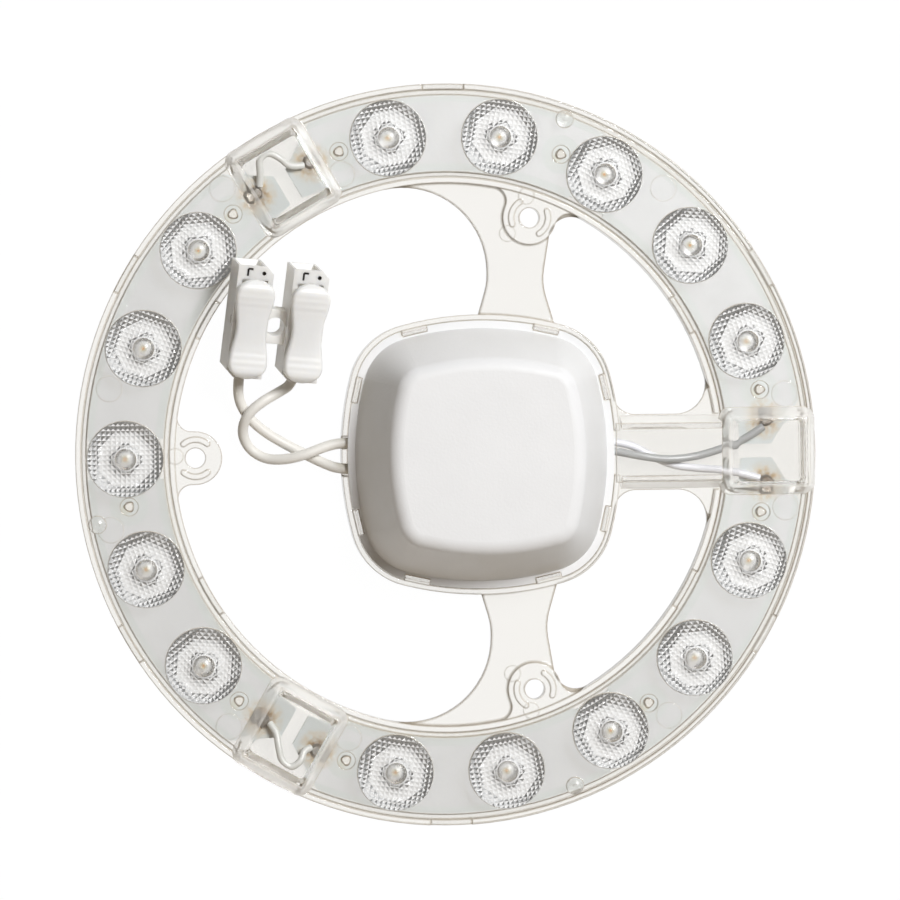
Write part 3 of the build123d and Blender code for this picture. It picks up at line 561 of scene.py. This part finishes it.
def gate_height(place):
    """Height of a gate mark at a place in its plan: a low dome with the stub of the broken runner."""
    dome = gate_z + gate_rise * (1.0 - (place.length / gate_reach) ** 2)
    return dome + (stub_rise if place.length < stub_reach else 0.0)


def round_points(radii, count):
    """Points on rings of those radii, half a step apart from ring to ring."""
    points = []
    for ring, radius in enumerate(radii):
        for step in range(count):
            angle = 2 * pi * (step + 0.5 * (ring % 2)) / count
            points.append(Vector((cos(angle), sin(angle))) * radius)
    return points


def lens_plan():
    """Points and edges of a lens in plan, inside its rim: the prisms' edges, and rings in the middle."""
    points = [point for chord in facet_lines() for point in chord]
    edges = [(i, i + 1) for i in range(0, len(points), 2)]
    for radius in (prism_inner, prism_outer):
        ends = [i for i, point in enumerate(points) if abs(point.length - radius) < touch]
        ends.sort(key=lambda i: atan2(points[i].y, points[i].x))
        edges += zip(ends, ends[1:] + ends[:1])
    middle_rings = [pupil * share for share in pupil_rings]
    points += round_points(middle_rings + [bead_ring], 2 * bead_count)
    return points, edges


def close_rim(mesh, axis, plan, height_at, smooth_reach):
    """Close the open rim round an axis with a surface over a plan. Its faces are smooth out to a reach."""
    open_edges = [edge for edge in mesh.edges if edge.is_boundary]
    ends = {vertex for edge in open_edges for vertex in edge.verts}
    rim = [vertex for vertex in ends if (vertex.co - axis).length < rim_search]
    turned = Matrix.Rotation(atan2(axis.y, axis.x), 2)
    flat_rim = {vertex: turned.transposed() @ (vertex.co - axis).to_2d() for vertex in rim}
    rim.sort(key=lambda vertex: atan2(flat_rim[vertex].y, flat_rim[vertex].x))
    points, edges = plan
    count = len(rim)
    edges = [(i, (i + 1) % count) for i in range(count)] + [(i + count, j + count) for i, j in edges]
    points = [flat_rim[vertex] for vertex in rim] + points
    places, _, faces, sources, _, _ = delaunay_2d_cdt(points, edges, [], 0, plan_gap)
    made = []
    for place, source in zip(places, sources):
        if source and min(source) < count:
            made.append(rim[min(source)])
        else:
            made.append(mesh.verts.new((*(turned @ place + axis.to_2d()), height_at(place))))
    for face in faces:
        new_face = mesh.faces.new([made[i] for i in face])
        reach = sum((places[i] for i in face), Vector((0, 0))).length / len(face)
        new_face.smooth = reach < smooth_reach
        new_face.material_index = ring_finishes.index(pupil_clear if new_face.smooth else prism_clear)


def in_lens(point, axis):
    """Whether a point lies on the crown of the lens on that axis, above its upright foot."""
    reach = hypot(point.x - axis.x, point.y - axis.y)
    lowest = lens_foot_z if reach > cavity_reach else cavity_top
    return reach < lens_reach + lens_margin and point.z > lowest


def on_gate(face, axis):
    """Whether a face belongs to the flat top of the gate pad on that axis."""
    place = face.calc_center_median()
    inside = (place - axis).length < gate_reach
    return inside and face.normal.z > facing_up and place.z > gate_z - gate_margin


# The walls of the boxes and of the tunnel are misty outside, and clearer where they face the hollow.
lens_clear = clear_plastic(
    "clear_lens",
    tint=(0.99, 0.99, 0.985),
    passed=(0.99, 0.99, 0.985),
    clearness=0.98,
    roughness=0.04,
    flow_depth=0.03 * mm,
    edge=edge_line_painted_shade,
)
prism_clear = clear_plastic(
    "clear_prisms",
    tint=(0.99, 0.99, 0.985),
    passed=(0.92, 0.92, 0.92),
    clearness=1.0,
    roughness=0.05,
    scatter={"share": 0.72, "turn": (-0.62, -0.62, 1.0), "lift": (0.0, 0.0, 0.0)},
)
box_clear = clear_plastic(
    "clear_boxes",
    tint=(0.975, 0.965, 0.945),
    passed=(0.98, 0.98, 0.975),
    clearness=0.8,
    roughness=0.1,
    flow_depth=0.02 * mm,
    scatter={"share": 0.2, "turn": (0.3, 0.3, 0.3), "lift": (0.0, 0.0, 1.0)},
    bend=1.2,
)
pupil_clear = clear_plastic(
    "clear_pupils",
    tint=(0.97, 0.97, 0.96),
    passed=(0.9, 0.9, 0.9),
    clearness=0.93,
    roughness=0.27,
)
hollow_clear = clear_plastic(
    "clear_hollows",
    tint=(0.985, 0.98, 0.97),
    passed=(0.98, 0.98, 0.975),
    clearness=0.95,
    roughness=0.08,
    bend=1.06,
)
ring_finishes = [lens_clear, prism_clear, box_clear, pupil_clear, wall_painted_shade, hollow_clear]
prism_plan = lens_plan()
gate_plan = (round_points([gate_reach * share for share in gate_rings], gate_sides), [])
ring_mesh = nodes["lens_ring"].data.copy()
ring_mesh.name = "lens_ring_prisms"
ring_mesh.attributes.remove(ring_mesh.attributes["custom_normal"])
ring_mesh.materials.clear()
for material in ring_finishes:
    ring_mesh.materials.append(material)
shaping = bmesh.new()
shaping.from_mesh(ring_mesh)
bmesh.ops.remove_doubles(shaping, verts=shaping.verts, dist=weld_gap)
# Upright faces of the ring take the brown walls' painted shade.
for face in shaping.faces:
    face.smooth = True
    finish = wall_painted_shade if abs(face.normal.z) < upright else lens_clear
    middle = face.calc_center_median()
    turn = radians(sector) * round(atan2(middle.y, middle.x) / radians(sector))
    across = middle.y * cos(turn) - middle.x * sin(turn)
    on_box = middle.z > box_foot or middle.to_2d().length < ring_bore
    if on_box and abs(across) < box_half_width and abs(face.normal.z) < level:
        outward = middle.to_2d() - lens_circle * Vector((cos(turn), sin(turn)))
        finish = box_clear if outward.dot(face.normal.to_2d()) > 0 else hollow_clear
    face.material_index = ring_finishes.index(finish)
for lens_angle in lens_angles:
    axis = ring_point(lens_circle, lens_angle)
    for face in shaping.faces:
        middle = face.calc_center_median()
        if hypot(middle.x - axis.x, middle.y - axis.y) < pupil_surround:
            face.material_index = ring_finishes.index(pupil_clear)
    crown = [face for face in shaping.faces if in_lens(face.calc_center_median(), axis)]
    bmesh.ops.delete(shaping, geom=crown, context="FACES")
    close_rim(shaping, axis, prism_plan, lens_height, pupil)
for gate_angle in gate_angles:
    axis = ring_point(gate_circle, gate_angle, gate_z)
    pad = [face for face in shaping.faces if on_gate(face, axis)]
    bmesh.ops.delete(shaping, geom=pad, context="FACES")
    close_rim(shaping, axis, gate_plan, gate_height, gate_reach)
bmesh.ops.recalc_face_normals(shaping, faces=shaping.faces)
shaping.to_mesh(ring_mesh)
shaping.free()
smooth_faces = [polygon.use_smooth for polygon in ring_mesh.polygons]
smooth_rounds(ring_mesh)
ring_mesh.polygons.foreach_set("use_smooth", smooth_faces)

ring = bpy.data.objects.new("lens_ring_prisms", ring_mesh)
bpy.context.scene.collection.objects.link(ring)
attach(ring, "module")
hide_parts("lens_ring")


# Driver: a green board on the tray's standoffs, with cans, transformer, film capacitor, fuse and chips.
# The board's underside shows through the tray: solder points on a ground of mask, with wide copper runs.
# The parts stand in the board's holes and are soldered from below.
can_cap = 0.6 * mm
run_green = (0.12, 0.3, 0.13)
pad_tin = (0.6, 0.6, 0.57)
board_green, green_body, green_tone = grained_parts(
    "board_green", (0.07, 0.2, 0.09), roughness=0.35, grain=900.0, depth=0.02 * mm,
)
run_place = add_node(board_green, "ShaderNodeTexCoord")
runs = add_node(board_green, "ShaderNodeTexVoronoi", {"Scale": 130.0, "Randomness": 0.8})
runs.distance = "MANHATTAN"
link(board_green, run_place, "Object", runs, "Vector")
run_edge = fade(board_green, runs, "Distance", start=0.35, end=0.36)
green_tone = paint_over(board_green, green_tone, run_green, run_edge)
pads = add_node(board_green, "ShaderNodeTexVoronoi", {"Scale": 190.0, "Randomness": 0.6})
link(board_green, run_place, "Object", pads, "Vector")
pad_spots = fade(board_green, pads, "Distance", start=0.2, end=0.17)
green_tone = paint_over(board_green, green_tone, pad_tin, pad_spots)
link(board_green, green_tone, "Result", green_body, "Base Color")
finish_node("driver_board", board_green)
can_sleeve = grained("can_sleeve", (0.05, 0.06, 0.1), roughness=0.3, grain=900.0, depth=0.02 * mm)
can_top = grained(
    "can_top", (0.75, 0.75, 0.74), roughness=0.3, grain=900.0, depth=0.02 * mm, values={"Metallic": 1.0},
)
can_finishes = [can_sleeve, can_top]
for name in ("input_capacitor", "output_capacitor"):
    can = finish_node(name, *can_finishes)
    _, can_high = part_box(name)
    for face in can.data.polygons:
        if face.center.z > can_high[2] - can_cap:
            face.material_index = can_finishes.index(can_top)
driver_finishes = {
    "transformer_core": grained("ferrite", (0.06, 0.06, 0.065), roughness=0.6, grain=700.0, depth=0.05 * mm),
    "transformer_coil": grained(
        "coil_tape", (0.72, 0.52, 0.05), roughness=0.3, grain=500.0, depth=0.03 * mm,
    ),
    "film_capacitor": grained("film_red", (0.42, 0.04, 0.03), roughness=0.3, grain=500.0, depth=0.05 * mm),
    "fuse_resistor": grained("fuse_body", (0.32, 0.42, 0.42), roughness=0.45, grain=700.0, depth=0.03 * mm),
}
black_package = grained("black_package", (0.03, 0.03, 0.032), roughness=0.5, grain=1500.0, depth=0.03 * mm)
for name in ("bridge_rectifier", "driver_chip"):
    driver_finishes[name] = black_package
for name, finish in driver_finishes.items():
    finish_node(name, finish)


# Driver wires: a grey and a white core in soft sleeves, from the driver to the first and the last board.
# They leave the driver board at its edge and cross in the tunnel.
# In the first box they are soldered to the lamp boards.
sleeve_grey = grained("sleeve_grey", (0.45, 0.455, 0.46), roughness=0.35, grain=900.0, depth=0.02 * mm)
sleeve_white = grained("sleeve_white", (0.88, 0.88, 0.93), roughness=0.35, grain=900.0, depth=0.02 * mm)
finish_node("driver_wire_grey", sleeve_grey)
finish_node("driver_wire_white", sleeve_white)


# Driver cover: a deep cap of white flame-proof plastic, moulded with a fine spark-eroded grain.
# Its flange drops into the seat and eight hooks of the tray snap over it.
cover_white = grained(
    "cover_white", (0.85, 0.85, 0.855), roughness=0.5, grain=1900.0, depth=0.02 * mm, mottle=0.012,
)
finish_node("driver_cover", cover_white)


# Push-in terminal: two poles joined by a bridge with a screw hole, moulded in milky white nylon.
# A wire goes into each end of a pole and is held by the contact strip inside it.
# The leads hold the terminal in the air beside the driver, tipped up and to one side.
def turn_by(about_z, about_x, about_y):
    """A turn in degrees about Y, then about X, then about Z."""
    return (
        Matrix.Rotation(radians(about_z), 3, "Z") @ Matrix.Rotation(radians(about_x), 3, "X")
        @ Matrix.Rotation(radians(about_y), 3, "Y")
    )


# The terminal and its rockers are laid out in millimetres in the terminal's own frame.
terminal_turn = turn_by(about_z=-7.1, about_x=11.0, about_y=9.8)
terminal_origin = ring_point(radius=40.49, angle=155.02, height=1.75)
pole_x = 5.7
slit_start = 20.2
slit_end = 22.8
slit_half_width = 2.6
slit_bottom = 6.55
slit_top = 7.35
facing_down = -0.1
milky = {"Subsurface Weight": 0.6, "Subsurface Radius": (1.0, 0.95, 0.85), "Subsurface Scale": 3.0 * mm}
terminal_white = grained(
    "terminal_white", (0.88, 0.865, 0.83), roughness=0.4, grain=700.0, depth=0.02 * mm, values=milky,
)
# The faces inside the slits at the poles' far ends are painted near-black: painted shade in the recess.
slit_dark = grained("slit_dark", (0.1, 0.09, 0.08), roughness=0.6, grain=700.0, depth=0.01 * mm)
terminal_finishes = [terminal_white, slit_dark]
terminal_body = finish_node("terminal_body", *terminal_finishes)
for face in terminal_body.data.polygons:
    place = terminal_turn.transposed() @ (face.center / mm - terminal_origin)
    facing = terminal_turn.transposed() @ face.normal
    on_deck = slit_start < place.y < slit_end and abs(abs(place.x) - pole_x) < slit_half_width
    if on_deck and slit_bottom < place.z < slit_top and facing.z > facing_down:
        face.material_index = terminal_finishes.index(slit_dark)
contact_metal = grained(
    "contact_metal", (0.4, 0.38, 0.35), roughness=0.35, grain=700.0, depth=0.01 * mm,
    values={"Metallic": 1.0},
)
for name in ("contact_strip_left", "contact_strip_right"):
    finish_node(name, contact_metal)


# Rocker buttons: one on each pole, waisted and raised at both ends, with soft ridges for the thumb.
# Each is a solid milky moulding on a boss, and rocks on two stub axles in the pole's walls.
rocker_half = 10.1
rocker_middle = 11.6
rocker_bottom = 8.505
rocker_bulge = 3.95
rocker_waist = 3.1
button_middle = 10.35
button_edge = 0.7
button_crown = 0.06
edge_share = 0.6
edge_steps = 6
top_steps = 6
stations = 96
bulge_y = 6.9
tip_margin = 0.05
saddle = 1.2
saddle_half = 2.5
saddle_slope = 6.0
end_rise = 0.7
ridge_start = 4.0
ridge_count = 3
ridge_pitch = 1.35
ridge_height = 0.03
nose_start = 8.4
nose_drop = 1.1
axle_z = 5.8
axle_radius = 0.75
axle_length = 7.0
axle_sides = 32
boss_width = 5.0
boss_length = 3.0
boss_overlap = 0.1
boss_bottom = axle_z - axle_radius
boss_top = rocker_bottom + boss_overlap


def button_half_width(y):
    """Half the button's width at a distance from its middle."""
    reach = abs(y)
    if reach < bulge_y:
        return rocker_waist + (rocker_bulge - rocker_waist) * (0.5 - 0.5 * cos(pi * reach / bulge_y))
    return rocker_bulge * sqrt(1.0 - ((reach - bulge_y) / (rocker_half + tip_margin - bulge_y)) ** 2)


def button_top(y):
    """Height of the button's top above its underside: a saddle, soft ridges and a rounded end."""
    reach = abs(y)
    rise = min(1.0, max(0.0, (reach - saddle_half) / saddle_slope))
    height = saddle + end_rise * rise * rise * (3 - 2 * rise)
    if ridge_start < reach < ridge_start + ridge_count * ridge_pitch:
        height -= ridge_height * (1 - cos(2 * pi * (reach - ridge_start) / ridge_pitch))
    if reach > nose_start:
        height -= nose_drop * ((reach - nose_start) / (rocker_half - nose_start)) ** 2
    return height


def button_section(y):
    """Points round the button's section, from one lower corner over the rounded top to the other."""
    half = button_half_width(y)
    top = button_top(y)
    edge = min(button_edge, edge_share * half, edge_share * top)
    corner = []
    for step in range(edge_steps + 1):
        angle = radians(90 - 90 * step / edge_steps)
        corner.append((half - edge + edge * cos(angle), top - edge + edge * sin(angle)))
    points = [(-half, 0.0)]
    points += [(-x, z) for x, z in reversed(corner)]
    for step in range(1, top_steps):
        across = (half - edge) * (2 * step / top_steps - 1)
        points.append((across, top + button_crown * (1 - (across / half) ** 2)))
    points += corner
    points.append((half, 0.0))
    return points


rocker_white = grained(
    "rocker_white", (0.93, 0.92, 0.895), roughness=0.4, grain=700.0, depth=0.02 * mm, mottle=0.015,
    values=milky,
)
boss_place = Matrix.Translation((0, rocker_middle, (boss_bottom + boss_top) / 2))
boss_size = Matrix.Diagonal((boss_width, boss_length, boss_top - boss_bottom, 1.0))
axle_place = Matrix.Translation((0, rocker_middle, axle_z)) @ Matrix.Rotation(pi / 2, 4, "Y")
to_frame = Matrix.Scale(mm, 4) @ Matrix.Translation(terminal_origin) @ terminal_turn.to_4x4()
for side, offset in (("left", -pole_x), ("right", pole_x)):
    button = bmesh.new()
    sections = []
    for station in range(stations + 1):
        y = -rocker_half * cos(pi * station / stations)
        outline = button_section(y)
        sections.append([button.verts.new((x, button_middle + y, rocker_bottom + z)) for x, z in outline])
    for first, second in zip(sections, sections[1:]):
        around = list(zip(first, second))
        for (a, b), (c, d) in zip(around, around[1:] + around[:1]):
            button.faces.new((a, c, d, b))
    button.faces.new(sections[0])
    button.faces.new(list(reversed(sections[-1])))
    bmesh.ops.create_cube(button, size=1.0, matrix=boss_place @ boss_size)
    bmesh.ops.create_cone(
        button,
        cap_ends=True,
        segments=axle_sides,
        radius1=axle_radius,
        radius2=axle_radius,
        depth=axle_length,
        matrix=axle_place,
    )
    button.transform(to_frame @ Matrix.Translation((offset, 0, 0)))
    bmesh.ops.recalc_face_normals(button, faces=button.faces)
    button_mesh = bpy.data.meshes.new(f"rocker_{side}_button")
    button.to_mesh(button_mesh)
    button.free()
    smooth_rounds(button_mesh)
    button_mesh.materials.append(rocker_white)
    rocker = bpy.data.objects.new(f"rocker_{side}_button", button_mesh)
    bpy.context.scene.collection.objects.link(rocker)
    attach(rocker, f"rocker_{side}")
    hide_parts(f"rocker_{side}")


# Mains leads: two single cores of 2.1 mm over their sleeves, warm white, from the driver to the terminal.
# They leave the seat through two slots in its wall, cross once and rise into the near ends of the poles.
entry_height = 2.8


def entry_point(across, along):
    """A point on the middle line of a pole's wire entry."""
    return tuple(terminal_origin + terminal_turn @ Vector((across, along, entry_height)))


lead_diameter = 2.1 * mm
# The points of the routes are millimetres in the frame of the solids.
lead_routes = {
    "mains_lead_1": [
        (-14.6, -2.8, 2.575), (-21.4, -2.8, 2.575), (-25.4, -1.2, 1.9), (-29.4, 0.9, 1.2),
        (-33.4, 3.0, 1.2), (-37.2, 5.4, 1.5), (-40.3, 8.4, 2.4), (-42.0, 11.6, 4.0),
        entry_point(-pole_x, -2.0), entry_point(-pole_x, 2.4),
    ],
    "mains_lead_2": [
        (-14.6, 2.8, 2.575), (-21.4, 2.8, 2.575), (-25.2, 1.8, 3.3), (-29.0, 0.3, 3.9),
        (-33.0, -0.6, 2.9), (-36.8, -0.4, 1.6), (-40.0, 1.7, 1.4), (-41.5, 5.2, 2.9),
        (-40.4, 8.7, 5.1), (-37.4, 11.2, 5.1), (-34.4, 12.8, 4.1),
        entry_point(pole_x, -1.2), entry_point(pole_x, 2.4),
    ],
}
lead_white = grained("lead_white", (0.83, 0.81, 0.765), roughness=0.45, grain=600.0, depth=0.03 * mm)
for name, route in lead_routes.items():
    line = bpy.data.curves.new(f"{name}_line", "CURVE")
    line.dimensions = "3D"
    line.bevel_depth = lead_diameter / 2
    line.bevel_resolution = 6
    line.resolution_u = 12
    line.use_fill_caps = True
    spline = line.splines.new("NURBS")
    spline.points.add(len(route) - 1)
    for point, place in zip(spline.points, route):
        point.co = (*[value * mm for value in place], 1.0)
    spline.order_u = 3
    spline.use_endpoint_u = True
    lead = bpy.data.objects.new(f"{name}_flex", line)
    bpy.context.scene.collection.objects.link(lead)
    line.materials.append(lead_white)
    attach(lead, "module")
    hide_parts(name)


# Studio: a white paper floor just under the part, a soft key lamp from the upper right and a weak fill.
# The paper shows white to the camera and through the clear parts, and keeps a faint shadow.
floor_reach = 3.0
floor_gap = 0.1 * mm
glow_share = 0.97
floor_corners = [(x * floor_reach, y * floor_reach, 0) for x, y in ((-1, -1), (1, -1), (1, 1), (-1, 1))]
floor_mesh = bpy.data.meshes.new("floor")
floor_mesh.from_pydata(floor_corners, [], [(0, 1, 2, 3)])
floor = bpy.data.objects.new("floor", floor_mesh)
floor.location.z = -floor_gap
bpy.context.scene.collection.objects.link(floor)
floor_white, floor_output = new_material("floor_white")
matt = add_node(floor_white, "ShaderNodeBsdfDiffuse", {"Color": (0.8, 0.79, 0.77, 1.0)})
glow = add_node(floor_white, "ShaderNodeEmission", {"Color": (1.0, 1.0, 1.0, 1.0), "Strength": 1.02})
path = add_node(floor_white, "ShaderNodeLightPath")
seen = path.outputs["Is Camera Ray"]
for kind in ("Is Transmission Ray", "Is Glossy Ray"):
    either = add_node(floor_white, "ShaderNodeMath", operation="MAXIMUM")
    floor_white.node_tree.links.new(seen, either.inputs[0])
    floor_white.node_tree.links.new(path.outputs[kind], either.inputs[1])
    seen = either.outputs["Value"]
share = add_node(floor_white, "ShaderNodeMath", {1: glow_share}, operation="MULTIPLY")
floor_white.node_tree.links.new(seen, share.inputs[0])
paper = mix_shaders(floor_white, matt.outputs["BSDF"], glow.outputs["Emission"], share.outputs["Value"])
floor_white.node_tree.links.new(paper, floor_output.inputs["Surface"])
floor_mesh.materials.append(floor_white)

world = bpy.data.worlds.new("studio")
bpy.context.scene.world = world
world.use_nodes = True
sky = world.node_tree.nodes["Background"]
sky.inputs["Color"].default_value = (1.0, 0.86, 0.7, 1.0)
sky.inputs["Strength"].default_value = 0.085


def softbox(name, place, size, watts, colour):
    """A square lamp that faces the ring's centre."""
    lamp = bpy.data.lights.new(name, "AREA")
    lamp.color = colour
    lamp.size = size
    lamp.energy = watts
    box = bpy.data.objects.new(name, lamp)
    box.location = place
    box.rotation_mode = "QUATERNION"
    box.rotation_quaternion = (-Vector(place)).to_track_quat("-Z", "Y")
    bpy.context.scene.collection.objects.link(box)


softbox("key", place=(0.47, 0.45, 0.98), size=0.4, watts=13.9, colour=(0.98, 0.99, 1.0))
softbox("fill", place=(-0.3, -0.9, 0.6), size=0.6, watts=1.9, colour=(1.0, 0.86, 0.71))


# Camera: a long lens almost straight above, as the photograph was taken.
# It is turned to show a little of the left and lower sides.
camera_turn = turn_by(about_z=0.678, about_x=1.191, about_y=4.676)
camera_aim = Vector((0, 0, 4.3 * mm))
camera_place = Vector((0.567 * mm, 0.995 * mm, 1.1939))
lens = bpy.data.cameras.new("camera")
lens.sensor_width = 36.0
lens.lens = 236.4
camera = bpy.data.objects.new("camera", lens)
camera.matrix_world = (
    Matrix.Translation(camera_aim) @ camera_turn.transposed().to_4x4() @ Matrix.Translation(camera_place)
)
bpy.context.scene.collection.objects.link(camera)
bpy.context.scene.camera = camera
bpy.context.scene.view_settings.view_transform = "Standard"
